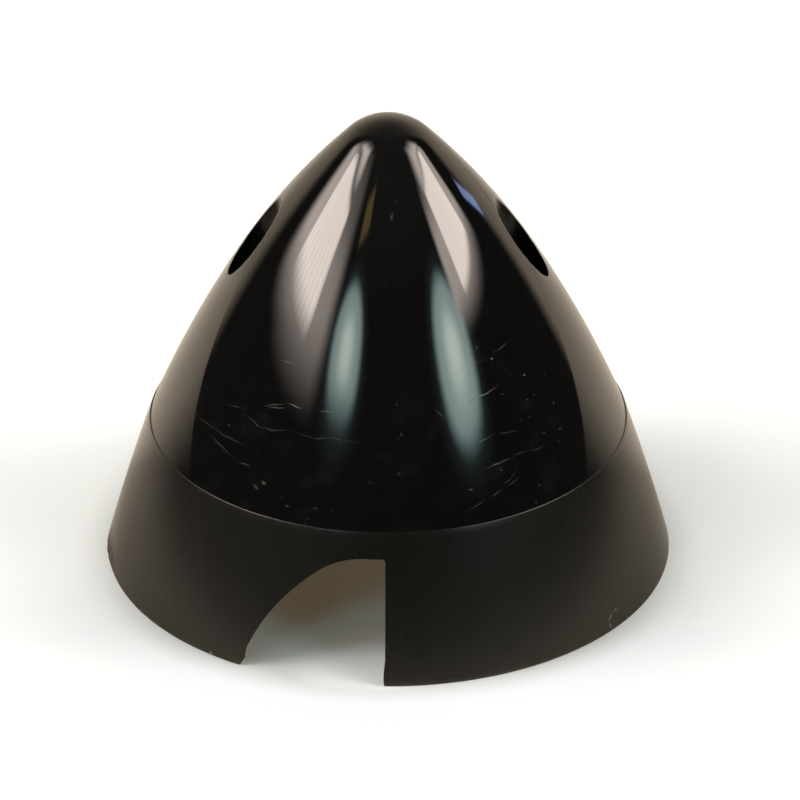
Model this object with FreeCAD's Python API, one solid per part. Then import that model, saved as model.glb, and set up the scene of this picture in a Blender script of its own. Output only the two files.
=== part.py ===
"""Propeller spinner cone: one black moulding with a polished nose and a satin skirt.

Millimetres. The rim rests on z = 0 and +Z runs up the axis to the nose.
The screw wells lie on the X axis and the blade cut-outs face -Y and +Y.
"""
import FreeCAD, Part
import math
import os

# Skirt
RIM_DIAMETER = 50.8
SKIRT_HEIGHT = 13.33
SKIRT_TOP_DIAMETER = 42.84
SEAM_STEP = 0.10            # the nose starts this far inside the skirt's top edge

# Nose
OVERALL_HEIGHT = 43.1
FLANK_LEAN = 22.1           # degrees from the axis, at the seam
SHOULDER_LEAN = 43.9        # degrees from the axis, where the ball of the tip begins
TIP_RADIUS = 5.3
SHOULDER_ARCS = 3           # the shoulder is turned from this many equal arcs

# Wall, and the seat for a back plate's shoulder
WALL = 1.8                  # at its thinnest, above the seat
REGISTER_WALL = 1.5         # rim wall left outside the seat, at z = 0
REGISTER_DEPTH = 2.0

# Screw wells
WELL_SPACING = 23.6
WELL_DIAMETER = 4.9
WELL_FLOOR_HEIGHT = 17.0
WELL_FLOOR_THICKNESS = 2.2
TOWER_WALL = 1.3
SCREW_HOLE_DIAMETER = 2.7

# Blade cut-outs, seen from outside with the nose up
CUTOUT_HEIGHT = 11.04
CUTOUT_TOP_FLAT = 1.8
CUTOUT_CORNER_RADIUS = 0.3
TOP_ROUND_RADIUS = 6.9      # where the outline turns down from its flat top
TOP_ROUND_TURN = 36.3
BLADE_BACK_TURN = 29.5
FOOT_ROUND_RADIUS = 2.64    # where the outline turns upright above the flare
FLARE_WIDTH = 0.5
FLARE_HEIGHT = 0.85

# How far each cut runs on past the faces that it opens
OVERRUN = 1.0


def point(radius, height):
    """A point of the turned section, in the XZ plane."""
    return FreeCAD.Vector(radius, 0, height)


def leaning(lean):
    """Unit direction upwards, leaning from +Z towards -X by some degrees."""
    angle = math.radians(lean)
    return FreeCAD.Vector(-math.sin(angle), 0, math.cos(angle))


def outward(lean):
    """Unit direction square to that one, on the +X side."""
    angle = math.radians(lean)
    return FreeCAD.Vector(math.cos(angle), 0, math.sin(angle))


def tangent_arc(start, direction, end):
    """Arc from start, along direction there, to end."""
    chord = end - start
    half_turn = direction.getAngle(chord)
    side = direction - chord * (direction.dot(chord) / chord.dot(chord))
    side.normalize()
    crown = chord.Length / 2 * math.tan(half_turn / 2)
    return Part.Arc(start, start + chord / 2 + side * crown, end).toShape()


def two_arcs(start, start_direction, end, end_direction):
    """The pair of arcs that join two points smoothly, each along its own direction."""
    chord = end - start
    both = start_direction + end_direction
    spread = 2 * (1 - start_direction.dot(end_direction))
    along = chord.dot(both)
    reach = (math.sqrt(along ** 2 + spread * chord.dot(chord)) - along) / spread
    joint = (start + end + (start_direction - end_direction) * reach) / 2
    lower = tangent_arc(start, start_direction, joint)
    upper = tangent_arc(joint, joint - start - start_direction * reach, end)
    return [lower, upper]


def equal_arcs(arc, count):
    """The same arc in equal shorter ones, so that no turned face is too tall."""
    turn = (arc.LastParameter - arc.FirstParameter) / count
    pieces = []
    for number in range(count):
        here = arc.FirstParameter + number * turn
        ends = arc.valueAt(here), arc.valueAt(here + turn)
        pieces.append(Part.Arc(ends[0], arc.valueAt(here + turn / 2), ends[1]).toShape())
    return pieces


def taper(arc):
    """The straight line between an arc's ends."""
    return Part.makeLine(arc.Vertexes[0].Point, arc.Vertexes[-1].Point)


def nose_flank(inset):
    """The nose from the seam to the axis: flank arc, shoulder arc and the ball of the tip."""
    seam = point(SKIRT_TOP_DIAMETER / 2 - SEAM_STEP, SKIRT_HEIGHT)
    ball_centre = point(0, OVERALL_HEIGHT - TIP_RADIUS)
    ball_radius = TIP_RADIUS - inset
    start = seam - outward(FLANK_LEAN) * inset
    end = ball_centre + outward(SHOULDER_LEAN) * ball_radius
    arcs = two_arcs(start, leaning(FLANK_LEAN), end, leaning(SHOULDER_LEAN))
    halfway = (90 + SHOULDER_LEAN) / 2
    summit = ball_centre + point(0, ball_radius)
    ball = Part.Arc(end, ball_centre + outward(halfway) * ball_radius, summit).toShape()
    return arcs + [ball]


def turned(edges):
    """Solid turned about the axis from a section's flank, closed back to the axis."""
    first = edges[0].Vertexes[0].Point
    last = edges[-1].Vertexes[-1].Point
    base = Part.makeLine(point(0, first.z), first)
    axis = Part.makeLine(last, point(0, first.z))
    section = Part.Face(Part.Wire([base] + edges + [axis]))
    return section.revolve(FreeCAD.Vector(0, 0, 0), FreeCAD.Vector(0, 0, 1), 360)


def outer_form():
    """The cone as if it were solid, with the step at the seam."""
    flank, shoulder, ball = nose_flank(0)
    seam = point(SKIRT_TOP_DIAMETER / 2, SKIRT_HEIGHT)
    skirt = Part.makeLine(point(RIM_DIAMETER / 2, 0), seam)
    step = Part.makeLine(seam, flank.Vertexes[0].Point)
    return turned([skirt, step, flank] + equal_arcs(shoulder, SHOULDER_ARCS) + [ball])


def hollow():
    """The room inside the wall: three straight tapers and a ball at the tip."""
    flank, shoulder, ball = nose_flank(WALL)
    lean = math.atan2((RIM_DIAMETER - SKIRT_TOP_DIAMETER) / 2, SKIRT_HEIGHT)
    rim = point(RIM_DIAMETER / 2 - WALL / math.cos(lean), 0)
    skirt = Part.makeLine(rim, flank.Vertexes[0].Point)
    return turned([skirt, taper(flank), taper(shoulder), ball])


def register():
    """The round seat inside the rim that the back plate's shoulder enters."""
    radius = RIM_DIAMETER / 2 - REGISTER_WALL
    seat = Part.makeCylinder(radius, REGISTER_DEPTH + OVERRUN)
    seat.translate(FreeCAD.Vector(0, 0, -OVERRUN))
    return seat


def upright(radius, x, low, high):
    """A cylinder that stands parallel to the axis."""
    return Part.makeCylinder(radius, high - low, FreeCAD.Vector(x, 0, low))


def tower(x):
    """The thimble round one well, before the nose's outside cuts it off."""
    foot = WELL_FLOOR_HEIGHT - WELL_FLOOR_THICKNESS
    return upright(WELL_DIAMETER / 2 + TOWER_WALL, x, foot, OVERALL_HEIGHT)


def well(x):
    """The room for one screw's head and driver, with the screw's hole below it."""
    foot = WELL_FLOOR_HEIGHT - WELL_FLOOR_THICKNESS
    head = upright(WELL_DIAMETER / 2, x, WELL_FLOOR_HEIGHT, OVERALL_HEIGHT)
    hole = upright(SCREW_HOLE_DIAMETER / 2, x, foot - OVERRUN, WELL_FLOOR_HEIGHT)
    return head.fuse(hole)


def drop(heading, turn):
    """How far an arc of radius 1 comes down as it turns on from some heading."""
    return math.cos(math.radians(heading)) - math.cos(math.radians(heading + turn))


def blade_arcs(start):
    """The blade's back, as three smooth arcs from the flat top down to the flare, and their end."""
    back_end = TOP_ROUND_TURN + BLADE_BACK_TURN
    foot_turn = 90 - back_end
    top_drop = TOP_ROUND_RADIUS * drop(0, TOP_ROUND_TURN)
    foot_drop = FOOT_ROUND_RADIUS * drop(back_end, foot_turn)
    back_drop = CUTOUT_HEIGHT - FLARE_HEIGHT - top_drop - foot_drop
    back_radius = back_drop / drop(TOP_ROUND_TURN, BLADE_BACK_TURN)
    arcs = [
        (TOP_ROUND_RADIUS, TOP_ROUND_TURN),
        (back_radius, BLADE_BACK_TURN),
        (FOOT_ROUND_RADIUS, foot_turn),
    ]
    edges = []
    here = start
    heading = 0
    for radius, turn in arcs:
        centre = here - leaning(heading) * radius
        middle = centre + leaning(heading + turn / 2) * radius
        end = centre + leaning(heading + turn) * radius
        edges.append(Part.Arc(here, middle, end).toShape())
        heading = heading + turn
        here = end
    return edges, here


def blade_outline():
    """A cut-out's outline: straight side on the axis plane, flat top, blade's back, flare."""
    corner = CUTOUT_CORNER_RADIUS
    corner_centre = point(-corner, CUTOUT_HEIGHT - corner)
    side_end = point(0, CUTOUT_HEIGHT - corner)
    top_start = point(-corner, CUTOUT_HEIGHT)
    top_end = point(-CUTOUT_TOP_FLAT, CUTOUT_HEIGHT)
    side_foot = point(0, -OVERRUN)
    back, flare_top = blade_arcs(top_end)
    flare_foot = point(flare_top.x - FLARE_WIDTH, 0)
    outer_foot = point(flare_foot.x, -OVERRUN)
    start = [
        Part.makeLine(side_foot, side_end),
        Part.Arc(side_end, corner_centre + leaning(-45) * corner, top_start).toShape(),
        Part.makeLine(top_start, top_end),
    ]
    finish = [
        Part.makeLine(flare_top, flare_foot),
        Part.makeLine(flare_foot, outer_foot),
        Part.makeLine(outer_foot, side_foot),
    ]
    return Part.Wire(start + back + finish)


def cutout(turn):
    """One blade's way out through the skirt, turned about the axis from the -Y side."""
    depth = RIM_DIAMETER / 2 + OVERRUN
    tool = Part.Face(blade_outline()).extrude(FreeCAD.Vector(0, -depth, 0))
    tool.rotate(FreeCAD.Vector(0, 0, 0), FreeCAD.Vector(0, 0, 1), turn)
    return tool


def spinner_cone():
    """The whole moulding: the turned shell with its wells, seat and cut-outs."""
    well_places = [-WELL_SPACING / 2, WELL_SPACING / 2]
    room = hollow()
    for x in well_places:
        room = room.cut(tower(x))
    cone = outer_form().cut(room).cut(register())
    for x in well_places:
        cone = cone.cut(well(x))
    for turn in (0, 180):
        cone = cone.cut(cutout(turn))
    return cone


os.makedirs("parts", exist_ok=True)
spinner_cone().exportStep("parts/spinner_cone.step")
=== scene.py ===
"""Looks of the propeller spinner: polished black nose, satin black skirt, studio light.

Shapes are worked out in millimetres in the frame of the CAD model and made in metres.
The rim stands on z = 0, the wells lie on the X axis and the camera looks from -Y.
"""

import math

import bmesh
import bpy
from mathutils import Matrix, Vector, geometry, kdtree


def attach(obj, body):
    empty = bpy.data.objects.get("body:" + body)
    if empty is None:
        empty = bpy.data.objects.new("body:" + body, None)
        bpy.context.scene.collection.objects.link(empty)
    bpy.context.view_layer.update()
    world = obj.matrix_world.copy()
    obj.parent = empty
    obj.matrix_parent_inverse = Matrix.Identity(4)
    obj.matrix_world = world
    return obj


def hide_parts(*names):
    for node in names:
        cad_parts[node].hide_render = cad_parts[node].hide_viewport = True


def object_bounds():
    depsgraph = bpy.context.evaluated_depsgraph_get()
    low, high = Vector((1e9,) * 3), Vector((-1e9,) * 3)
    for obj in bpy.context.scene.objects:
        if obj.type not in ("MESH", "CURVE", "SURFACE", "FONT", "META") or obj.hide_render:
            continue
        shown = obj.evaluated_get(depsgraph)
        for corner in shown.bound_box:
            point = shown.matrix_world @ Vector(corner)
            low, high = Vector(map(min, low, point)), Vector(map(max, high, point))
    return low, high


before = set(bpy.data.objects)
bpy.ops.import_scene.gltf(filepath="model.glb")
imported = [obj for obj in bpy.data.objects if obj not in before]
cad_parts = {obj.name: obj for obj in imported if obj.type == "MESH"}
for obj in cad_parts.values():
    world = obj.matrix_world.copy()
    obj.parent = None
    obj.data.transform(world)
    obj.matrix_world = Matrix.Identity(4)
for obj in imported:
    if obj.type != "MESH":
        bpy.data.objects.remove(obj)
CAD_LOW, CAD_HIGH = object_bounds()

METRE = 1000.0                      # millimetres in a metre
TURN = 2 * math.pi

# Sizes of the moulding, in mm and degrees
RIM_RADIUS = CAD_HIGH.x * METRE
OVERALL_HEIGHT = CAD_HIGH.z * METRE
SKIRT_HEIGHT = 13.33
SKIRT_TOP_RADIUS = 21.42
SKIRT_CROWN = 0.12                  # the skirt bellies out this far between rim and seam
SEAM_STEP = 0.10
FLANK_LEAN = 22.1
SHOULDER_LEAN = 43.9
TIP_RADIUS = 5.3
WALL = 1.8
SEAT_LIP = 1.5                      # width of the rim's face outside the seat for the back plate
SEAT_RADIUS = RIM_RADIUS - SEAT_LIP
SEAT_DEPTH = 2.0
WELL_PLACES = (-11.8, 11.8)
WELL_RADIUS = 2.45
WELL_FLOOR = 17.0
TOWER_FOOT = 14.8
TOWER_RADIUS = 3.75
SCREW_HOLE_RADIUS = 1.35

# Outline of a blade cut-out
CUTOUT_HEIGHT = 11.04
CUTOUT_TOP_FLAT = 1.8
CUTOUT_CORNER_RADIUS = 0.3
TOP_ROUND_RADIUS = 6.9
TOP_ROUND_TURN = 36.3
BLADE_BACK_TURN = 29.5
FOOT_ROUND_RADIUS = 2.64
FLARE_WIDTH = 0.5
FLARE_HEIGHT = 0.85

# Small rounds and moulding marks
RIM_ROUND = 0.12
SEAM_ROUND = 0.045
MOUTH_ROUND = 0.06
MOUTH_STEPS = ((1, 0), (0.3, 0.3), (0, 1))      # out and down over a mouth's round, as shares
FLASH_PROUD = 0.14                  # thin flash at the foot of the cut-out's straight side
FLASH_HEIGHT = 1.9
FLASH_START = 0.2                   # where on its half wave the flash begins, at the rim
BURR_PLACE = -85.0                  # degrees round from the front: a ragged flash along the rim
BURR_PROUD = 0.22
BURR_LIMIT = RIM_RADIUS - 0.01      # it stays inside the rim's full width
BURR_WIDTH = 7.5                    # degrees to either side
BURR_FOOT = 0.1
BURR_TOP = 1.1
BURR_FULLNESS = 0.6                 # under 1, so that the burr is full over most of its height
BURR_RAGGED = 0.35                  # the share of it that comes and goes
BURR_PITCH = 2.3                    # radians of that wave in each degree along the rim
BURR_SLANT = 5.0                    # and in each mm of height
BURR_ROWS = [0.3, 0.45, 0.6, 0.75, 0.9]         # heights of its own rows of points

# Fineness of the mesh
SEGMENTS = 360
WELL_SEGMENTS = 96
RING_STEP = 0.4
ROW_STEP = 0.6
OUTLINE_STEP = 0.3
OUTLINE_GAP = 3 * OUTLINE_STEP      # outline points further apart than this aren't joined
WELL_RINGS = (0.12, 0.3, 0.6, 1.0)  # rings of points round each well's mouth
WELL_ROWS = 12                      # rows of points down a well, and up its thimble
RING_GAP = 0.12                     # between a well's last ring and the dome's own points
THINNED_RADII = (9.0, 4.0)          # within each of these the dome's rings have half the points
EDGE_ROOM = 0.15                    # from a cut-out's outline to the next point on an edge
FACE_ROOM = 0.25                    # and to the next point inside a sheet
LEVEL_ROOM = 1e-6                   # points this close in height count as level
POINT_ROOM = 1e-6                   # points this close count as one when a sheet is cut up
RIM_LEVEL = 1e-4                    # the height at which points of the rim's face are tested
RING_ROOM = 1e-3                    # a level ring's triangles lie this far out from its inner edge
HOLE_SHARE = 0.999                  # of a hole's radius: triangles nearer its middle are left out
MERGE_DISTANCE = 1e-7               # metres
SHORTEST_EDGE = 1e-8                # metres
SHARP_ANGLE = 32                    # degrees, past which an edge isn't shaded smooth


def outward(lean):
    """Unit direction out of the section, square to a flank that leans by some degrees."""
    return Vector((math.cos(math.radians(lean)), math.sin(math.radians(lean))))


def upward(lean):
    """Unit direction up such a flank, as radius and height."""
    return Vector((-math.sin(math.radians(lean)), math.cos(math.radians(lean))))


def lean_of(direction):
    """How far a direction up the flank leans towards the axis, in degrees."""
    return math.degrees(math.atan2(-direction.x, direction.y))


class NoseSection:
    """Half of the nose's section: two smooth arcs and the ball of the tip."""

    def __init__(self, inset):
        self.ball_height = OVERALL_HEIGHT - TIP_RADIUS
        self.ball_radius = TIP_RADIUS - inset
        seam = Vector((SKIRT_TOP_RADIUS - SEAM_STEP, SKIRT_HEIGHT))
        self.start = seam - outward(FLANK_LEAN) * inset
        self.end = Vector((0, self.ball_height)) + outward(SHOULDER_LEAN) * self.ball_radius
        low, high = upward(FLANK_LEAN), upward(SHOULDER_LEAN)
        chord = self.end - self.start
        spread = 2 * (1 - low.dot(high))
        along = chord.dot(low + high)
        reach = (math.sqrt(along ** 2 + spread * chord.dot(chord)) - along) / spread
        self.joint = (self.start + self.end + (low - high) * reach) / 2
        self.joint_lean = lean_of(self.joint - self.start - low * reach)
        self.flank = self.arc(self.start, FLANK_LEAN, self.joint, self.joint_lean)
        self.shoulder = self.arc(self.joint, self.joint_lean, self.end, SHOULDER_LEAN)

    def arc(self, start, start_lean, end, end_lean):
        """Centre and radius of the arc between two points with known leans."""
        half_turn = math.radians(end_lean - start_lean) / 2
        radius = (end - start).length / (2 * math.sin(half_turn))
        return start - outward(start_lean) * radius, radius

    def height(self, radius):
        """Height of the arcs and the ball at a distance from the axis."""
        if radius <= self.end.x:
            return self.ball_height + math.sqrt(max(self.ball_radius ** 2 - radius ** 2, 0))
        centre, bend = self.shoulder if radius <= self.joint.x else self.flank
        return centre.y + math.sqrt(bend ** 2 - (radius - centre.x) ** 2)

    def taper_height(self, radius):
        """Height of the hollow's straight tapers and ball at a distance from the axis."""
        if radius <= self.end.x:
            return self.height(radius)
        low, high = (self.joint, self.end) if radius <= self.joint.x else (self.start, self.joint)
        return low.y + (high.y - low.y) * (radius - low.x) / (high.x - low.x)

    def ring_radii(self):
        """Distances from the axis at which rings of points lie, evenly up the section."""
        radii = []
        spans = (
            (self.flank, FLANK_LEAN, self.joint_lean),
            (self.shoulder, self.joint_lean, SHOULDER_LEAN),
            ((Vector((0, self.ball_height)), self.ball_radius), SHOULDER_LEAN, 90),
        )
        for (centre, bend), low, high in spans:
            count = math.ceil(bend * math.radians(high - low) / RING_STEP)
            for number in range(count):
                lean = low + (high - low) * number / count
                radii.append(centre.x + bend * math.cos(math.radians(lean)))
        return radii


OUTSIDE = NoseSection(0)
INSIDE = NoseSection(WALL)


def skirt_radius(height):
    """Radius of the skirt's outside, with its belly and the rounds at its two edges."""
    share = height / SKIRT_HEIGHT
    radius = RIM_RADIUS + (SKIRT_TOP_RADIUS - RIM_RADIUS) * share
    radius += SKIRT_CROWN * 4 * share * (1 - share)
    if height < RIM_ROUND:
        radius -= RIM_ROUND - math.sqrt(RIM_ROUND ** 2 - (RIM_ROUND - height) ** 2)
    if height > SKIRT_HEIGHT - SEAM_ROUND:
        rise = height - SKIRT_HEIGHT + SEAM_ROUND
        radius -= SEAM_ROUND - math.sqrt(max(SEAM_ROUND ** 2 - rise ** 2, 0))
    return radius


def with_burr(point):
    """A point of the skirt's outside, moved out where the mould left a ragged flash at the rim."""
    place = math.degrees(math.atan2(point.x, -point.y))
    off = abs(place - BURR_PLACE) / BURR_WIDTH
    if off >= 1 or not BURR_FOOT < point.z < BURR_TOP:
        return point
    share = (point.z - BURR_FOOT) / (BURR_TOP - BURR_FOOT)
    wave = math.sin(BURR_PITCH * place + BURR_SLANT * point.z)
    ragged = math.sin(math.pi * share) ** BURR_FULLNESS * (1 - BURR_RAGGED + BURR_RAGGED * wave)
    away = Vector((point.x, point.y, 0)).normalized()
    moved = point + away * (BURR_PROUD * ragged * (1 - off * off))
    moved.x = max(moved.x, -BURR_LIMIT)
    return moved


def room_radius(height):
    """Radius of the skirt's inside above the seat."""
    lean = math.atan2(RIM_RADIUS - SKIRT_TOP_RADIUS, SKIRT_HEIGHT)
    foot = RIM_RADIUS - WALL / math.cos(lean)
    return foot + (INSIDE.start.x - foot) * height / INSIDE.start.y


def seat_radius(height):
    """Radius of the seat for the back plate, the same at each height."""
    return SEAT_RADIUS


def drop(heading, turn):
    """How far an arc of radius 1 comes down as it turns on from some heading."""
    return math.cos(math.radians(heading)) - math.cos(math.radians(heading + turn))


def cut_outline():
    """The front cut-out's outline as x and height, from its straight side over to the flare."""
    corner = CUTOUT_CORNER_RADIUS
    back_end = TOP_ROUND_TURN + BLADE_BACK_TURN
    top_drop = TOP_ROUND_RADIUS * drop(0, TOP_ROUND_TURN)
    foot_drop = FOOT_ROUND_RADIUS * drop(back_end, 90 - back_end)
    back_drop = CUTOUT_HEIGHT - FLARE_HEIGHT - top_drop - foot_drop
    side_top = CUTOUT_HEIGHT - corner
    points = []

    def line(end):
        start = points[-1]
        count = math.ceil((end - start).length / OUTLINE_STEP)
        for number in range(count):
            points.append(start.lerp(end, (number + 1) / count))

    def arc(radius, heading, turn):
        centre = points[-1] - upward(heading) * radius
        count = math.ceil(radius * math.radians(turn) / OUTLINE_STEP) + 2
        for number in range(count):
            points.append(centre + upward(heading + turn * (number + 1) / count) * radius)

    points.append(Vector((0, 0)))
    line(Vector((0, SEAT_DEPTH)))
    line(Vector((0, side_top)))
    arc(corner, -90, 90)
    line(Vector((-CUTOUT_TOP_FLAT, CUTOUT_HEIGHT)))
    arc(TOP_ROUND_RADIUS, 0, TOP_ROUND_TURN)
    arc(back_drop / drop(TOP_ROUND_TURN, BLADE_BACK_TURN), TOP_ROUND_TURN, BLADE_BACK_TURN)
    arc(FOOT_ROUND_RADIUS, back_end, 90 - back_end)
    line(Vector((points[-1].x - FLARE_WIDTH, 0)))
    for point in points:
        if point.x == 0 and point.y < FLASH_HEIGHT:
            share = FLASH_START + (1 - FLASH_START) * point.y / FLASH_HEIGHT
            point.x = -FLASH_PROUD * math.sin(math.pi * share)
    nearest = min(points[len(points) // 2:], key=lambda point: abs(point.y - SEAT_DEPTH))
    nearest.y = SEAT_DEPTH
    return points


OUTLINE = cut_outline()
SIDES = (-1, 1)                     # the front cut-out, then the rear one, turned half round


def inside_cut(x, height):
    """Whether a point of the front cut-out's plane lies in its opening."""
    crossed = False
    for start, end in zip(OUTLINE, OUTLINE[1:]):
        if (start.y > height) != (end.y > height):
            crossing = start.x + (end.x - start.x) * (height - start.y) / (end.y - start.y)
            crossed ^= x < crossing
    return crossed


def in_opening(point):
    """Whether a point in space lies in the way of either cut-out."""
    side = math.copysign(1, point.y)
    return inside_cut(-side * point.x, max(point.z, RIM_LEVEL))


def cut_points(radius_at, low, high):
    """The two cut-outs' outlines on a turned surface, as lists of points in space."""
    outlines = []
    for side in SIDES:
        points = []
        for flat in OUTLINE:
            if low - LEVEL_ROOM <= flat.y <= high + LEVEL_ROOM:
                away = math.sqrt(radius_at(flat.y) ** 2 - flat.x ** 2)
                points.append(Vector((-side * flat.x, side * away, flat.y)))
        outlines.append(points)
    return outlines


class Shell:
    """Points and faces of the moulding, gathered in millimetres sheet by sheet."""

    def __init__(self):
        self.points = []
        self.faces = []
        self.finishes = []

    def add(self, points, faces, finish):
        """Adds one sheet of points and faces, all of one finish."""
        first = len(self.points)
        self.points.extend(points)
        self.faces.extend([first + corner for corner in face] for face in faces)
        self.finishes.extend([finish] * len(faces))

    def strip(self, loops, finish):
        """Adds bands of quads between closed loops that have equally many points."""
        count = len(loops[0])
        points = [point for loop in loops for point in loop]
        faces = []
        for row in range(len(loops) - 1):
            for number in range(count):
                after = (number + 1) % count
                low, high = row * count, (row + 1) * count
                faces.append((low + number, low + after, high + after, high + number))
        self.add(points, faces, finish)

    def mesh(self, name):
        """The sheets joined into one closed mesh in metres, with its faces turned outwards."""
        made = bmesh.new()
        corners = [made.verts.new(point / METRE) for point in self.points]
        for face, finish in zip(self.faces, self.finishes):
            made.faces.new([corners[corner] for corner in face]).material_index = finish
        bmesh.ops.remove_doubles(made, verts=made.verts, dist=MERGE_DISTANCE)
        bmesh.ops.dissolve_degenerate(made, edges=made.edges, dist=SHORTEST_EDGE)
        bmesh.ops.recalc_face_normals(made, faces=made.faces)
        mesh = bpy.data.meshes.new(name)
        made.to_mesh(mesh)
        made.free()
        mesh.shade_smooth()
        mesh.set_sharp_from_angle(angle=math.radians(SHARP_ANGLE))
        return mesh


def circle(x, radius, height, count):
    """A level circle of points about the axis or about a well."""
    angles = [TURN * number / count for number in range(count)]
    return [
        Vector((x + radius * math.cos(angle), radius * math.sin(angle), height))
        for angle in angles
    ]


def turned_point(radius_at, angle, height):
    """The point of a turned surface at an angle round the axis and at a height."""
    radius = radius_at(height)
    return Vector((radius * math.cos(angle), radius * math.sin(angle), height))


def from_above(points):
    """The same points seen from above."""
    return [Vector((p.x, p.y)) for p in points]


def lifted(points, height_at):
    """The same points brought to a turned surface's height."""
    return [Vector((p.x, p.y, height_at(math.hypot(p.x, p.y)))) for p in points]


def triangles(flat_points, edges):
    """Points and triangles of a flat region, with the given edges among them."""
    made = geometry.delaunay_2d_cdt(flat_points, edges, [], 0, POINT_ROOM)
    return made[0], made[2]


def middle_of(flat_points, face):
    """The middle of a flat triangle."""
    return sum((flat_points[corner] for corner in face), Vector((0, 0))) / 3


def closed_edges(first, count):
    """Edges that join so many points, from the first one on, into a closed loop."""
    return [(first + number, first + (number + 1) % count) for number in range(count)]


def beyond_wells(point, radius):
    """Whether a point seen from above lies further than a radius from both wells."""
    return all(math.hypot(point.x - place, point.y) > radius for place in WELL_PLACES)


def ring_segments(radius):
    """How many points a ring of the dome has: half as many within each thinned radius."""
    return SEGMENTS // 2 ** sum(radius <= limit for limit in THINNED_RADII)


def dome(radii, height_at, hole_radius):
    """The turned sheet from the widest radius to the axis, with a round hole at each well."""
    points = from_above(circle(0, radii[0], 0, SEGMENTS))
    edges = closed_edges(0, SEGMENTS)
    for place in WELL_PLACES:
        edges.extend(closed_edges(len(points), WELL_SEGMENTS))
        for extra in (0,) + WELL_RINGS:
            points.extend(from_above(circle(place, hole_radius + extra, 0, WELL_SEGMENTS)))
    clear = hole_radius + WELL_RINGS[-1] + RING_GAP
    for radius in radii[1:]:
        ring = from_above(circle(0, radius, 0, ring_segments(radius)))
        points.extend(p for p in ring if beyond_wells(p, clear))
    points.append(Vector((0, 0)))
    flat, faces = triangles(points, edges)
    kept = [f for f in faces if beyond_wells(middle_of(flat, f), hole_radius * HOLE_SHARE)]
    return [Vector((p.x, p.y, height_at(p.length))) for p in flat], kept


def level_loop(radius_at, height):
    """Points and edges of a turned surface's level line, broken where the cut-outs open it."""
    ends = [p for line in cut_points(radius_at, height, height) for p in line]
    places = [(math.atan2(p.y, p.x) % TURN, p) for p in ends]
    for number in range(SEGMENTS):
        angle = TURN * number / SEGMENTS
        point = turned_point(radius_at, angle, height)
        if not in_opening(point) and all((point - end).length > EDGE_ROOM for end in ends):
            places.append((angle, point))
    places.sort(key=lambda place: place[0])
    points = [point for _, point in places]
    edges = []
    for start, end in closed_edges(0, len(points)):
        if not in_opening((points[start] + points[end]) / 2):
            edges.append((start, end))
    return points, edges


def skirt_sheet(radius_at, low, high, rows):
    """The turned sheet of the skirt between two heights, with both cut-outs opened in it."""
    outlines = cut_points(radius_at, low, high)
    near = kdtree.KDTree(2 * len(OUTLINE))
    for number, point in enumerate(p for line in outlines for p in line):
        near.insert(point, number)
    near.balance()
    places, edges = [], []

    def place(angle, height):
        places.append(Vector((angle * RIM_RADIUS, height)))

    for line in outlines:
        first = len(places)
        for point in line:
            place(math.atan2(point.y, point.x) % TURN, point.z)
        for number in range(len(line) - 1):
            if (line[number + 1] - line[number]).length < OUTLINE_GAP:
                edges.append((first + number, first + number + 1))
    for height in rows:
        room = EDGE_ROOM if height in (low, high) else FACE_ROOM
        for number in range(SEGMENTS + 1):
            angle = TURN * number / SEGMENTS
            point = turned_point(radius_at, angle, height)
            if not in_opening(point) and near.find(point)[2] > room:
                place(angle, height)
    flat, faces = triangles(places, edges)

    def wrapped(p):
        return turned_point(radius_at, p.x / RIM_RADIUS, p.y)

    kept = [face for face in faces if not in_opening(wrapped(middle_of(flat, face)))]
    return [wrapped(p) for p in flat], kept


def level_ring(outer_at, inner_at, height):
    """The flat ring between two turned surfaces, broken where the cut-outs open it."""
    points, edges = level_loop(outer_at, height)
    more, more_edges = level_loop(inner_at, height)
    first = len(points)
    edges.extend((first + start, first + end) for start, end in more_edges)
    flat, faces = triangles(from_above(points + more), edges)
    kept = []
    for face in faces:
        middle = middle_of(flat, face)
        outside = middle.length > inner_at(height) + RING_ROOM
        if outside and not in_opening(Vector((middle.x, middle.y, height))):
            kept.append(face)
    return [Vector((p.x, p.y, height)) for p in flat], kept


def cut_walls(shell, finish):
    """The faces through the wall all round each cut-out."""
    outer = cut_points(skirt_radius, 0, SKIRT_HEIGHT)
    seat = cut_points(seat_radius, 0, SKIRT_HEIGHT)
    room = cut_points(room_radius, 0, SKIRT_HEIGHT)
    for line, seat_line, room_line in zip(outer, seat, room):
        for n in range(len(line) - 1):
            if line[n].z <= SEAT_DEPTH and line[n + 1].z <= SEAT_DEPTH:
                corners = [line[n], line[n + 1], seat_line[n + 1], seat_line[n]]
            else:
                corners = [line[n], line[n + 1]]
                if line[n + 1].z == SEAT_DEPTH:
                    corners.append(seat_line[n + 1])
                corners.extend((room_line[n + 1], room_line[n]))
                if line[n].z == SEAT_DEPTH:
                    corners.append(seat_line[n])
            shell.add(corners, [tuple(range(len(corners)))], finish)


def rounded_rows(low, high, low_round, high_round):
    """Heights of the rows of points, close together over a round at either end."""
    shares = [1 - math.cos(math.radians(angle)) for angle in (0, 22.5, 45, 67.5)]
    count = math.ceil((high - low) / ROW_STEP)
    first, last = low + low_round, high - high_round
    rows = [first, *(first + (last - first) * number / count for number in range(1, count)), last]
    if low_round:
        rows = [low + low_round * share for share in shares] + rows
    if high_round:
        rows += [high - high_round * share for share in reversed(shares)]
    return rows


POLISHED, SATIN = 0, 1


def rows_between(first, last):
    """Loops of points that go evenly from one loop to another."""
    return [
        [start.lerp(end, row / WELL_ROWS) for start, end in zip(first, last)]
        for row in range(WELL_ROWS + 1)
    ]


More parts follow.
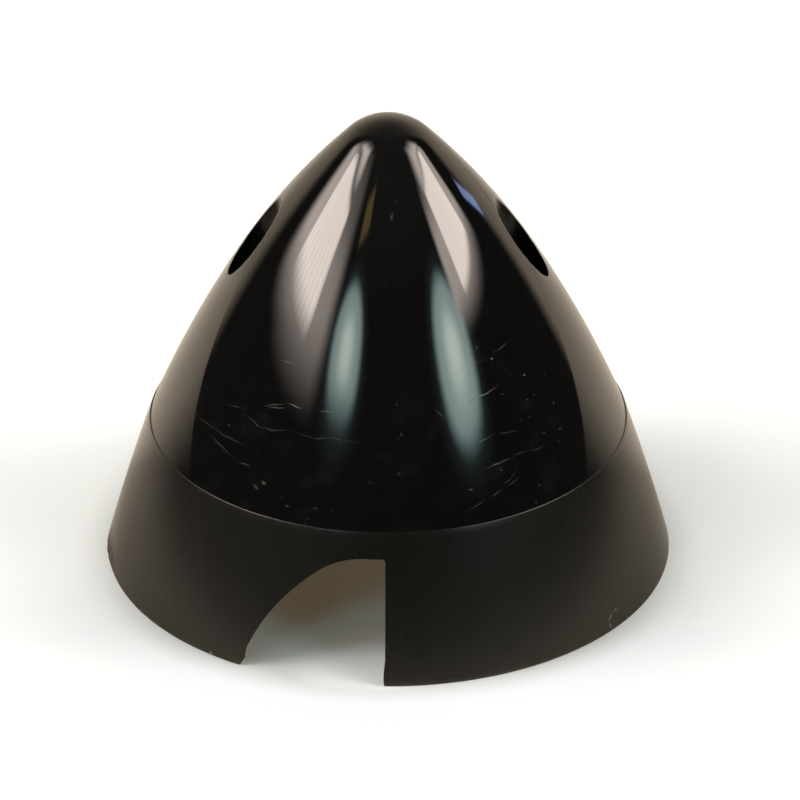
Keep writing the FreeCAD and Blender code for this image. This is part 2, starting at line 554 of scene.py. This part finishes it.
def add_well(shell, place):
    """A screw well: rounded mouth, walls, floor with the screw hole, and the thimble round it."""
    def ring(radius, height=0):
        return circle(place, radius, height, WELL_SEGMENTS)

    mouth = []
    for out, down in MOUTH_STEPS:
        loop = lifted(ring(WELL_RADIUS + MOUTH_ROUND * out), OUTSIDE.height)
        mouth.append([p - Vector((0, 0, MOUTH_ROUND * down)) for p in loop])
    floor = ring(WELL_RADIUS, WELL_FLOOR)
    hole = ring(SCREW_HOLE_RADIUS, WELL_FLOOR)
    hole_foot = ring(SCREW_HOLE_RADIUS, TOWER_FOOT)
    tower_foot = ring(TOWER_RADIUS, TOWER_FOOT)
    tower_top = lifted(ring(TOWER_RADIUS), INSIDE.taper_height)
    shell.strip(mouth, POLISHED)
    shell.strip(rows_between(mouth[-1], floor), SATIN)
    shell.strip([floor, hole, hole_foot, tower_foot], SATIN)
    shell.strip(rows_between(tower_foot, tower_top), SATIN)


def moulding():
    """The whole moulding as one closed shell."""
    shell = Shell()
    shell.add(*dome(OUTSIDE.ring_radii(), OUTSIDE.height, WELL_RADIUS + MOUTH_ROUND), POLISHED)
    shell.add(*dome(INSIDE.ring_radii(), INSIDE.taper_height, TOWER_RADIUS), SATIN)
    rows = sorted(rounded_rows(0, SKIRT_HEIGHT, RIM_ROUND, SEAM_ROUND) + BURR_ROWS)
    points, faces = skirt_sheet(skirt_radius, 0, SKIRT_HEIGHT, rows)
    shell.add([with_burr(point) for point in points], faces, SATIN)
    rows = rounded_rows(0, SEAT_DEPTH, 0, 0)
    shell.add(*skirt_sheet(seat_radius, 0, SEAT_DEPTH, rows), SATIN)
    rows = rounded_rows(SEAT_DEPTH, INSIDE.start.y, 0, 0)
    shell.add(*skirt_sheet(room_radius, SEAT_DEPTH, INSIDE.start.y, rows), SATIN)
    shell.add(*level_ring(skirt_radius, seat_radius, 0), SATIN)
    shell.add(*level_ring(seat_radius, room_radius, SEAT_DEPTH), SATIN)
    cut_walls(shell, SATIN)
    ledge_radii = (skirt_radius(SKIRT_HEIGHT), OUTSIDE.start.x)
    shell.strip([circle(0, radius, SKIRT_HEIGHT, SEGMENTS) for radius in ledge_radii], SATIN)
    for place in WELL_PLACES:
        add_well(shell, place)
    return shell.mesh("spinner_moulding")


class Wire:
    """A shader socket, on which Python's arithmetic adds Math nodes."""

    def __init__(self, nodes, socket):
        self.nodes = nodes
        self.socket = socket

    def maths(self, operation, *others):
        """A Math node with this value first."""
        values = dict(enumerate((self, *others)))
        return self.nodes.add("ShaderNodeMath", {"operation": operation}, values)

    def __add__(self, other):
        return self.maths("ADD", other)

    __radd__ = __add__

    def __sub__(self, other):
        return self.maths("SUBTRACT", other)

    def __rsub__(self, other):
        return self.maths("MULTIPLY_ADD", -1, other)

    def __mul__(self, other):
        return self.maths("MULTIPLY", other)

    __rmul__ = __mul__

    def larger(self, other):
        return self.maths("MAXIMUM", other)

    def smaller(self, other):
        return self.maths("MINIMUM", other)

    def step(self, low, high, before, after):
        """One value below low and another above high, with a smooth step between."""
        sockets = {"Value": self, "From Min": low, "From Max": high}
        sockets.update({"To Min": before, "To Max": after})
        return self.nodes.add("ShaderNodeMapRange", {"interpolation_type": "SMOOTHSTEP"}, sockets)

    def rise(self, low, high):
        """0 below low and 1 above high."""
        return self.step(low, high, 0, 1)

    def fall(self, low, high):
        """1 below low and 0 above high."""
        return self.step(low, high, 1, 0)

    def between(self, low, high, edge):
        """1 between two values and 0 outside them, with soft edges."""
        return self.rise(low - edge, low) * self.fall(high, high + edge)


class Nodes:
    """The node tree of one material or of the world."""

    def __init__(self, owner):
        owner.use_nodes = True
        self.tree = owner.node_tree
        self.tree.nodes.clear()

    def add(self, kind, settings=None, inputs=None, output=0):
        """Adds a node, with its settings first and then its sockets' values or links."""
        node = self.tree.nodes.new(kind)
        for name, value in (settings or {}).items():
            setattr(node, name, value)
        for key, value in (inputs or {}).items():
            if isinstance(value, Wire):
                self.tree.links.new(value.socket, node.inputs[key])
            else:
                node.inputs[key].default_value = value
        return Wire(self, node.outputs[output] if node.outputs else None)

    def split(self, vector):
        """The three parts of a vector."""
        parts = self.add("ShaderNodeSeparateXYZ", None, {"Vector": vector})
        return [Wire(self, socket) for socket in parts.socket.node.outputs]

    def joined(self, x, y, z=0):
        """A vector from three parts."""
        return self.add("ShaderNodeCombineXYZ", None, {"X": x, "Y": y, "Z": z})

    def place(self):
        """A point's place on the object in mm."""
        metres = self.add("ShaderNodeTexCoord", None, None, "Object")
        scaled = {0: metres, "Scale": METRE}
        return self.add("ShaderNodeVectorMath", {"operation": "SCALE"}, scaled, "Vector")

    def unrolled(self, place, radius):
        """Degrees round the object from its front, as a length at some radius, and the height."""
        x, y, z = self.split(place)
        return x.maths("ARCTAN2", 0 - y) * radius, z

    def noise(self, vector, scale, detail=2.0):
        """Soft noise from 0 to 1 with features about 1 / scale across."""
        sockets = {"Vector": vector, "Scale": scale, "Detail": detail}
        return self.add("ShaderNodeTexNoise", None, sockets)

    def blend(self, factor, first, second):
        """One colour going over into another, each a plain colour or what a node gives."""
        first, second = (c if isinstance(c, Wire) else (*c, 1) for c in (first, second))
        return self.add("ShaderNodeMix", {"data_type": "RGBA"}, {0: factor, 6: first, 7: second}, 2)

    def mixed_shader(self, factor, first, second):
        """One shader going over into another."""
        return self.add("ShaderNodeMixShader", None, {0: factor, 1: first, 2: second})

    def background(self, colour):
        """Plain light of one colour from the room."""
        return self.add("ShaderNodeBackground", None, {"Color": (*colour, 1)})

    def stroke(self, plane, start, end, width):
        """A thin mark from one point of a plane to another, fading to its edges and ends."""
        run = end - start
        around = {
            "Vector": plane,
            "Location": (*((start + end) / 2), 0),
            "Rotation": (0, 0, math.atan2(run.y, run.x)),
            "Scale": (max(run.length, width) / 2, width / 2, 1),
        }
        turned = {"Vector": self.add("ShaderNodeMapping", {"vector_type": "TEXTURE"}, around)}
        return self.add("ShaderNodeTexGradient", {"gradient_type": "SPHERICAL"}, turned, 1)


# Finishes
PLASTIC_IOR = 1.62
NOSE_BLACK = (0.0038, 0.0038, 0.0037)
NOSE_MARK = (0.085, 0.083, 0.08)
NOSE_ROUGHNESS = 0.03
MARK_ROUGHNESS = 0.3
SKIRT_GREEN_BLACK = (0.0034, 0.0039, 0.0029)
SKIRT_BROWN_BLACK = (0.005, 0.0049, 0.0039)
SKIRT_ROUGHNESS = 0.04
EDGE_BROWN = (0.03, 0.02, 0.011)
BURR_BROWN = (0.03, 0.018, 0.011)
GRAZE_GREY = (0.16, 0.155, 0.13)
GRAIN_DEPTH = 0.00001               # metres, of the satin's fine grain

# Dust and handling on the nose, in mm where it is a length
WAVER = 0.9                         # how far noise bends the scratches
DUSTY_HEIGHTS = (18, 34)            # the nose is dustiest below, and cleanest above these
DUST_SPACING = 1.5
DUST_SIZE = 0.17
SCRATCH_STRENGTH = 1.25
DUST_STRENGTH = 0.5
HAZE_STRENGTH = 0.05

# Marks on the front of the nose: from and to as degrees round it and height in mm, then strength
SCRATCHES = (
    (-39, 21.6, -30, 22.6, 0.5),
    (-30.5, 22.6, -25, 22.5, 1.0),
    (-37, 21.7, -30, 22.2, 0.6),
    (-52, 20.6, -43, 21.0, 0.3),
    (-21, 22.4, -14, 22.5, 0.5),
    (-44, 20.5, -36, 20.0, 0.6),
    (-38, 20.0, -28, 20.5, 0.6),
    (-30, 20.5, -5, 20.4, 0.35),
    (-63, 18.2, -52, 18.3, 0.4),
    (-54, 18.3, -38, 18.3, 0.5),
    (-55, 17.8, -41, 16.9, 0.5),
    (-41, 16.9, -37, 16.9, 0.6),
    (-38, 25.5, -31, 25.7, 0.35),
    (15, 25.1, 37, 26.0, 0.45),
    (37, 26.0, 47, 26.5, 0.6),
    (20, 22.7, 38, 23.7, 1.0),
    (14, 23.0, 18, 21.9, 0.35),
    (18, 21.9, 19, 20.5, 0.4),
    (25, 19.5, 32, 20.2, 0.5),
    (32, 20.0, 39, 19.7, 0.5),
    (25, 17.4, 36, 17.8, 0.8),
    (35, 17.8, 41, 18.1, 0.5),
    (40, 18.0, 46, 17.7, 0.5),
    (29, 17.2, 32, 17.4, 0.4),
    (30, 15.8, 36, 16.9, 0.4),
    (19.4, 14.2, 25.6, 15.1, 0.35),
    (25.6, 15.1, 31.1, 15.7, 0.5),
    (31.1, 15.7, 36, 16.3, 0.35),
    (1.5, 37.0, 4.5, 37.8, 0.7),
    (6.2, 38.2, 8, 38.4, 0.5),
)
# Specks there: degrees round it, height, width in mm and strength
SPECKS = (
    (37, 25.7, 0.5, 1.0),
    (47, 23.7, 0.5, 1.0),
    (37, 22.9, 0.35, 0.6),
    (48, 21.8, 0.25, 0.7),
    (45, 21.7, 0.3, 0.5),
    (62, 26.2, 0.3, 0.5),
    (56, 25.9, 0.25, 0.4),
    (53, 18.3, 0.4, 0.6),
    (47, 18.6, 0.4, 0.7),
    (51, 17.6, 0.3, 0.5),
    (19, 20.0, 0.3, 0.3),
    (-48, 19.2, 0.3, 0.5),
    (-44, 23.0, 0.3, 0.4),
    (-62, 20.5, 0.3, 0.4),
    (-34, 15.3, 0.7, 0.6),
    (43.8, 20.5, 0.25, 0.5),
    (40.6, 20.4, 0.3, 0.4),
    (21.8, 16.1, 0.5, 0.5),
    (30.9, 17.1, 0.4, 0.45),
    (3.5, 17.9, 0.35, 0.4),
    (-32, 15.8, 0.6, 0.7),
    (-24.6, 14.6, 0.5, 0.6),
    (-17.3, 14.8, 0.5, 0.6),
    (-19, 13.9, 0.35, 0.4),
    (-26.5, 15.2, 0.4, 0.4),
    (-37.7, 16.8, 0.4, 0.6),
    (-47.7, 19.2, 0.3, 0.5),
    (3, 37.4, 1.1, 0.3),
)
SCRATCH_WIDTH = 0.15
SPECK_SLANT = 1 / 8                 # a speck's fall across its width
SPECK_THICKNESS = 0.55              # as a share of its width
UNROLLED_RADIUS = 18.0              # radius at which the nose is unrolled flat for its marks


def drawn_marks(nodes, plane, radius, scratches, specks):
    """All the given scratches and specks on an unrolled surface, added up."""
    marks = 0.0
    for first, low, last, high, strength in scratches:
        start = Vector((math.radians(first) * radius, low))
        end = Vector((math.radians(last) * radius, high))
        mark = nodes.stroke(plane, start, end, SCRATCH_WIDTH)
        marks = mark.maths("MULTIPLY_ADD", strength, marks)
    for middle, height, width, strength in specks:
        centre = Vector((math.radians(middle) * radius, height))
        half = Vector((width / 2, -width * SPECK_SLANT))
        mark = nodes.stroke(plane, centre - half, centre + half, width * SPECK_THICKNESS)
        marks = mark.maths("MULTIPLY_ADD", strength, marks)
    return marks


def dust(nodes, place, spacing, size):
    """Fine grains strewn at random, from 0 to 1."""
    cells = nodes.add("ShaderNodeTexVoronoi", None, {"Vector": place, "Scale": 1 / spacing})
    return cells.fall(size * 0.5 / spacing, size / spacing)


def polished_black():
    """The nose's high gloss, with the dust and scratches of handling."""
    material = bpy.data.materials.new("polished_black")
    nodes = Nodes(material)
    place = nodes.place()
    around, height = nodes.unrolled(place, UNROLLED_RADIUS)
    plane = nodes.joined(around, height + (nodes.noise(place, 0.3) - 0.5) * WAVER)
    scratched = drawn_marks(nodes, plane, UNROLLED_RADIUS, SCRATCHES, SPECKS)
    broken_up = nodes.noise(place, 1.3).rise(0.3, 0.62) * 0.55 + 0.45
    dusty = height.fall(*DUSTY_HEIGHTS) * 0.8 + 0.2
    grains = dust(nodes, place, DUST_SPACING, DUST_SIZE)
    grains = grains * nodes.noise(place, 0.5).rise(0.46, 0.7) * dusty
    haze = nodes.noise(place, 0.45, 4).rise(0.5, 0.8) * dusty
    marks = scratched * broken_up * SCRATCH_STRENGTH + grains * DUST_STRENGTH + haze * HAZE_STRENGTH
    uneven = nodes.noise(place, 0.3) * 0.025
    surface = nodes.add("ShaderNodeBsdfPrincipled", None, {
        "Base Color": nodes.blend(marks.smaller(1), NOSE_BLACK, NOSE_MARK),
        "Roughness": uneven + marks * MARK_ROUGHNESS + NOSE_ROUGHNESS,
        "IOR": PLASTIC_IOR,
    })
    nodes.add("ShaderNodeOutputMaterial", None, {"Surface": surface})
    return material


# Marks on the skirt, in the same way: grazes beside the nicks in its rim and at the seam
SKIRT_SCRATCHES = (
    (51.5, 0.9, 53.5, 1.5, 1.6),
    (53.5, 1.5, 55.5, 1.6, 1.0),
    (51.8, 0.9, 52.2, 0.2, 1.6),
    (12, 8.6, 22, 8.9, 0.06),
    (-48, 6.4, -40, 6.9, 0.06),
)
SKIRT_SPECKS = (
    (-37.6, 0.2, 0.45, 2.5),
    (-50, 13.15, 0.5, 0.35),
    (-47, 13.2, 0.3, 0.3),
    (55, 1.1, 0.25, 0.5),
    (31, 12.9, 0.4, 0.2),
)
SKIRT_UNROLLED_RADIUS = 24.0
EDGE_BAND = (0.1, 0.45)             # heights over which the rim's scuffed brownish edge fades
BURR_STAIN = (-38.0, -33.0)         # from and to of the burr's dull brown, in mm round the skirt
BURR_STAIN_EDGE = 0.7
BURR_STAIN_TOP = (0.85, 1.1)


def satin_black():
    """The skirt's fine satin: broad and dull seen straight on, closer to a mirror at a glance."""
    material = bpy.data.materials.new("satin_black")
    nodes = Nodes(material)
    place = nodes.place()
    around, height = nodes.unrolled(place, SKIRT_UNROLLED_RADIUS)
    plane = nodes.joined(around, height)
    marks = drawn_marks(nodes, plane, SKIRT_UNROLLED_RADIUS, SKIRT_SCRATCHES, SKIRT_SPECKS)
    scuffed = height.fall(*EDGE_BAND) * nodes.noise(place, 1.1).rise(0.3, 0.6)
    ragged = height + nodes.noise(place, 1.2) * 0.9
    stained = around.between(*BURR_STAIN, BURR_STAIN_EDGE) * ragged.fall(*BURR_STAIN_TOP)
    tone = nodes.blend(nodes.noise(place, 0.25), SKIRT_GREEN_BLACK, SKIRT_BROWN_BLACK)
    tone = nodes.blend(scuffed, tone, EDGE_BROWN)
    tone = nodes.blend(stained, tone, BURR_BROWN)
    tone = nodes.blend(marks.smaller(1), tone, GRAZE_GREY)
    facing = nodes.add("ShaderNodeLayerWeight", None, {"Blend": 0.5}, "Facing")
    dull = facing.fall(0.3, 0.72) * 0.14 + facing.fall(0.68, 0.92) * 0.08
    uneven = nodes.noise(place, 0.35) * 0.04
    grain = {"Height": nodes.noise(place, 9), "Strength": 0.04, "Distance": GRAIN_DEPTH}
    surface = nodes.add("ShaderNodeBsdfPrincipled", None, {
        "Base Color": tone,
        "Roughness": dull + uneven + SKIRT_ROUGHNESS + scuffed * 0.15 + stained * 0.5,
        "IOR": PLASTIC_IOR,
        "Normal": nodes.add("ShaderNodeBump", None, grain),
    })
    nodes.add("ShaderNodeOutputMaterial", None, {"Surface": surface})
    return material


# Camera, as found from the photograph's outlines
CAMERA_DOWN = 29.124                # degrees that it looks down
CAMERA_TURN = 0.6                   # degrees that it stands round to the right of -Y
CAMERA_DISTANCE = 762.0
CAMERA_AIM = Vector((1.05, 0, 14.71))
FOCAL_PIXELS = 8497.1
FRAME_PIXELS = 800
SENSOR_WIDTH = 36                   # millimetres, as Blender has it
CLIP_NEAR, CLIP_FAR = 0.05, 50      # metres

# Lamps: two colours of each, where it is dim and at its brightest
WARM = (1.0, 0.86, 0.78), (1.0, 0.88, 0.795)
COOL = (0.5, 0.82, 0.82), (0.88, 1.0, 0.885)
BLUE = (0.35, 0.45, 1.0), (0.43, 0.55, 1.0)
AMBER = (1.0, 0.65, 0.25), (1.0, 0.69, 0.29)
LAMP_LEVEL = 0.77                   # by which all the lamps' brightness is multiplied
LAMP_DISTANCE = 1.5                 # metres
LAMP_COLUMNS, LAMP_ROWS = 24, 16    # faces of a lamp's panel
LEFT_CORE, LEFT_ABOVE = 15.9, 10    # brightness of the softboxes' parts
RIGHT_CORE, RIGHT_SIDES, RIGHT_ABOVE = 16, 6.6, 9
ROUND_EDGE = 0.35                   # brightness of the faint ring round each round lamp
BLUE_LEVEL, AMBER_LEVEL = 5.5, 1.4
FOLD_PITCH = 1.55                   # of the folds in a softbox's cloth: radians in each degree

# Floor, in metres, and its paper, whose pairs of colours are in front of the cone and behind it,
# the front ones darker as painted shade
FLOOR_WIDTH = 1.2
FLOOR_FRONT, FLOOR_BACK = -0.2, 0.9
FLOOR_DROP = 0.00002                # it lies this far under the rim, which shows from below
# Painted shade: the front colours of the paper are darker than those behind the cone
OPEN_PAPER = (0.8, 0.9, 1.0), (1.02, 1.15, 1.25)
# Painted shadow: the paper's colours in a ring round the cone's rim
SHADED_PAPER = (0.49, 0.55, 0.59), (0.62, 0.7, 0.75)
FAR_PAPER = (0.92, 1.04, 1.13)
# Painted glow: light that the camera alone sees on the paper, lifting the shade under the cone
PAPER_GLOW = (0.073, 0.055, 0.033)  # a little light that the camera sees on all of it
# Painted light and shade in what the plastic mirrors: pale near the cone and behind it, dark far
# off in front
DARK_PAPER = (0.03, 0.03, 0.03)     # for all but the camera: far off in front
PALE_PAPER = (0.75, 0.7, 0.62)      # and near the cone and behind it

# Room
DARK_ROOM = (0.015, 0.015, 0.015)
CEILING = (0.055, 0.055, 0.052)
BACKDROP = (0.86, 0.71, 0.54)
WHITE = (1, 1, 1)


def direction(azimuth, elevation):
    """Unit direction from the object: azimuth 0 is towards the camera, 90 is its right."""
    a, e = math.radians(azimuth + CAMERA_TURN), math.radians(elevation)
    return Vector((math.sin(a) * math.cos(e), -math.cos(a) * math.cos(e), math.sin(e)))


def photo_camera():
    """The camera at the photograph's angle and scale."""
    data = bpy.data.cameras.new("photo_camera")
    camera = bpy.data.objects.new("photo_camera", data)
    bpy.context.scene.collection.objects.link(camera)
    data.sensor_width = SENSOR_WIDTH
    data.lens = FOCAL_PIXELS / FRAME_PIXELS * data.sensor_width
    data.clip_start, data.clip_end = CLIP_NEAR, CLIP_FAR
    back = direction(0, CAMERA_DOWN)
    aim = Matrix.Rotation(math.radians(CAMERA_TURN), 3, "Z") @ CAMERA_AIM
    turned = back.to_track_quat("Z", "Y").to_matrix().to_4x4()
    camera.matrix_world = Matrix.Translation((aim + back * CAMERA_DISTANCE) / METRE) @ turned
    bpy.context.scene.camera = camera


def panel_mesh(name, azimuths, elevations):
    """A panel on a sphere round the object, with each point's two angles as its UV map."""
    made = bmesh.new()
    angles = made.loops.layers.uv.new("angles")
    grid = []
    for row in range(LAMP_ROWS + 1):
        elevation = elevations[0] + (elevations[1] - elevations[0]) * row / LAMP_ROWS
        for column in range(LAMP_COLUMNS + 1):
            azimuth = azimuths[0] + (azimuths[1] - azimuths[0]) * column / LAMP_COLUMNS
            point = made.verts.new(direction(azimuth, elevation) * LAMP_DISTANCE)
            grid.append((point, (azimuth, elevation)))
    for row in range(LAMP_ROWS):
        for column in range(LAMP_COLUMNS):
            first = row * (LAMP_COLUMNS + 1) + column
            steps = (0, LAMP_COLUMNS + 1, LAMP_COLUMNS + 2, 1)
            corners = [grid[first + step] for step in steps]
            face = made.faces.new([corner for corner, _ in corners])
            for loop, (_, angle) in zip(face.loops, corners):
                loop[angles].uv = angle
    mesh = bpy.data.meshes.new(name)
    made.to_mesh(mesh)
    made.free()
    return mesh


def softbox(name, colours, radiance, azimuths, elevations, brightness):
    """A lamp panel, its glow worked out from the angles on it."""
    panel = bpy.data.objects.new(name, panel_mesh(name, azimuths, elevations))
    bpy.context.scene.collection.objects.link(panel)
    panel.visible_camera = False
    material = bpy.data.materials.new(name)
    nodes = Nodes(material)
    azimuth, elevation, _ = nodes.split(nodes.add("ShaderNodeUVMap", {"uv_map": "angles"}))
    share = brightness(azimuth, elevation) * (1 / radiance)
    colour = nodes.blend(share, *colours)
    light = {"Color": colour, "Strength": radiance * LAMP_LEVEL}
    glow = nodes.add("ShaderNodeEmission", None, light)
    lit = nodes.mixed_shader(share, nodes.add("ShaderNodeBsdfTransparent"), glow)
    nodes.add("ShaderNodeOutputMaterial", None, {"Surface": lit})
    panel.data.materials.append(material)


def left_box(azimuth, elevation):
    """Bright core with folds in its cloth, dimmer sides, and a glow above a dark bar."""
    folds = (azimuth * FOLD_PITCH).maths("SINE") * 0.07 + 0.98
    lower = elevation - azimuth * 0.07
    upper = elevation - azimuth * 0.375
    core = azimuth.rise(-98, -92) * azimuth.fall(-62, -58) * lower.rise(27, 34.5)
    core = core * elevation.fall(42.5, 45.5) * upper.fall(73.6, 76.8)
    sides = azimuth.rise(-113, -101) * azimuth.fall(-51, -41) * lower.rise(23, 34)
    sides = sides * (elevation.fall(35, 46) * 0.6 + elevation.fall(44, 62) * 0.4)
    sides = sides * (1.25 - azimuth * 0.062)
    above = azimuth.rise(-106, -92) * 0.75 + azimuth.rise(-90, -76) * 0.25
    above = above * azimuth.fall(-70, -56) * elevation.rise(43, 49.5)
    above = above * (elevation.fall(51, 61) * 0.75 + elevation.fall(56, 68) * 0.25)
    return (core * folds * LEFT_CORE).larger(sides).larger(above * LEFT_ABOVE)


def right_box(azimuth, elevation):
    """The other softbox, a little smaller, with its glow right above the core."""
    folds = (azimuth * FOLD_PITCH).maths("SINE") * 0.03 + 0.97
    lower = elevation + azimuth * 0.08
    upper = elevation + azimuth * 0.12
    core = azimuth.between(69.5, 94, 4) * lower.rise(33.4, 36.4) * upper.fall(51.5, 54.5)
    sides = azimuth.between(60, 101, 5) * lower.rise(30, 37.5) * elevation.fall(38, 50)
    above = azimuth.rise(58, 76) * azimuth.fall(94, 112)
    above = above * elevation.rise(40, 46) * elevation.fall(45, 64)
    return (core * folds * RIGHT_CORE).larger(sides * RIGHT_SIDES).larger(above * RIGHT_ABOVE)


def round_lamp(centre, wide, high, peak, foot):
    """A round lamp with a faint ring round it, cut off softly at its foot."""
    def brightness(azimuth, elevation):
        across, up = (azimuth - centre[0]) * (1 / wide), (elevation - centre[1]) * (1 / high)
        away = (across * across + up * up).maths("SQRT")
        disc = away.fall(0.7, 1.1) * (peak * 0.55) + away.fall(0.1, 0.7) * (peak * 0.45)
        return disc * elevation.rise(*foot) + away.fall(0.8, 1.45) * ROUND_EDGE
    return brightness


def blue_stripe(azimuth, elevation):
    """A short slanting stripe of blue light, off some screen in the room."""
    slanted = elevation + azimuth * 0.95
    return slanted.between(131.2, 133, 1.6) * elevation.between(13.5, 19.6, 1.8) * BLUE_LEVEL


def amber_patch(azimuth, elevation):
    """A faint amber patch beside the left softbox."""
    slanted = elevation - azimuth * 0.4
    return azimuth.between(-35, -28, 3) * slanted.between(60.5, 64, 3) * AMBER_LEVEL


def lamps():
    """Two tall softboxes, two round lamps, and two gleams: a screen's blue and a warm amber."""
    left_round = round_lamp((-30, 31), 11.5, 9.5, 9.2, (21, 28.5))
    right_round = round_lamp((46.4, 28), 13.8, 10.5, 10, (14, 22))
    softbox("left_softbox", WARM, 18, (-115, -40), (14, 68), left_box)
    softbox("right_softbox", WARM, 17, (54, 112), (18, 64), right_box)
    softbox("left_round_lamp", COOL, 10, (-49, -11), (15, 47), left_round)
    softbox("right_round_lamp", COOL, 11, (24, 68), (11, 45), right_round)
    softbox("blue_gleam", BLUE, 5.6, (109, 129), (9, 27), blue_stripe)
    softbox("amber_gleam", AMBER, 1.5, (-42, -20), (42, 58), amber_patch)


def pale_floor():
    """The floor's paper as the camera sees it, as the plastic mirrors it, and clear from below."""
    material = bpy.data.materials.new("pale_floor")
    nodes = Nodes(material)
    x, y, _ = nodes.split(nodes.place())
    away = (x * x + y * y).maths("SQRT")
    beside = x.maths("ABSOLUTE").maths("ARCTAN2", y)
    # Painted light and shade: the mirrored paper is pale near the cone and behind it and fades to
    # dark far off in front
    lit = (away.fall(22, 108) * 0.78).larger(beside.fall(0.92, 1.38))
    mirrored_paper = nodes.blend(lit, DARK_PAPER, PALE_PAPER)
    # Painted shade: the paper in front of the cone is darker than behind it
    behind = y.rise(-18, -2)
    open_paper = nodes.blend(away.rise(30, 52), nodes.blend(behind, *OPEN_PAPER), FAR_PAPER)
    shaded_paper = nodes.blend(behind, *SHADED_PAPER)
    # Painted contact shadow: darker paper in a ring from about 20 to 29 mm out, lighter for x from
    # -11 to 6 mm near a cut-out
    unshaded = away.rise(23, 29).larger(away.fall(20, 24))
    unshaded = unshaded.larger(x.between(-5, 0, 6) * away.fall(25, 30) * 0.7)
    seen_paper = nodes.blend(unshaded, shaded_paper, open_paper)
    # The paper as the camera sees it, with the painted glow added
    seen = nodes.add("ShaderNodeAddShader", None, {
        0: nodes.add("ShaderNodeBsdfDiffuse", None, {"Color": seen_paper}),
        1: nodes.add("ShaderNodeEmission", None, {"Color": (*PAPER_GLOW, 1)}),
    })
    mirrored = nodes.add("ShaderNodeBsdfDiffuse", None, {"Color": mirrored_paper})
    camera_ray = nodes.add("ShaderNodeLightPath", None, None, "Is Camera Ray")
    above = nodes.mixed_shader(camera_ray, mirrored, seen)
    below = nodes.add("ShaderNodeNewGeometry", None, None, "Backfacing")
    surface = nodes.mixed_shader(below, above, nodes.add("ShaderNodeBsdfTransparent"))
    nodes.add("ShaderNodeOutputMaterial", None, {"Surface": surface})
    return material


def floor_sheet():
    """The sheet of paper that the cone stands on."""
    bpy.ops.mesh.primitive_plane_add(size=1)
    floor = bpy.context.object
    floor.name = "floor"
    for corner in floor.data.vertices:
        corner.co.x *= FLOOR_WIDTH
        corner.co.y = FLOOR_BACK if corner.co.y > 0 else FLOOR_FRONT
        corner.co.z = -FLOOR_DROP
    floor.data.materials.append(pale_floor())


def room():
    """A dark room with a dim ceiling and a pale backdrop behind. The camera sees it white."""
    world = bpy.data.worlds.new("studio_room")
    bpy.context.scene.world = world
    nodes = Nodes(world)
    x, y, z = nodes.split(nodes.add("ShaderNodeTexCoord", None, None, "Generated"))
    from_front = x.maths("ABSOLUTE").maths("ARCTAN2", 0 - y)
    pale = from_front.rise(2.09, 2.33) * (z.fall(0.1, 1.0) * 0.95 + 0.05) * (x * 0.3 + 1.08)
    walls = nodes.mixed_shader(
        z.rise(0.55, 0.85), nodes.background(DARK_ROOM), nodes.background(CEILING)
    )
    walls = nodes.mixed_shader(pale, walls, nodes.background(BACKDROP))
    camera_ray = nodes.add("ShaderNodeLightPath", None, None, "Is Camera Ray")
    seen = nodes.mixed_shader(camera_ray, walls, nodes.background(WHITE))
    nodes.add("ShaderNodeOutputWorld", None, {"Surface": seen})


photo_camera()
lamps()
floor_sheet()
room()
bpy.context.scene.view_settings.view_transform = "Standard"

piece = bpy.data.objects.new("spinner_moulding", moulding())
bpy.context.scene.collection.objects.link(piece)
piece.data.materials.append(polished_black())
piece.data.materials.append(satin_black())
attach(piece, "root")
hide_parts("spinner_cone")
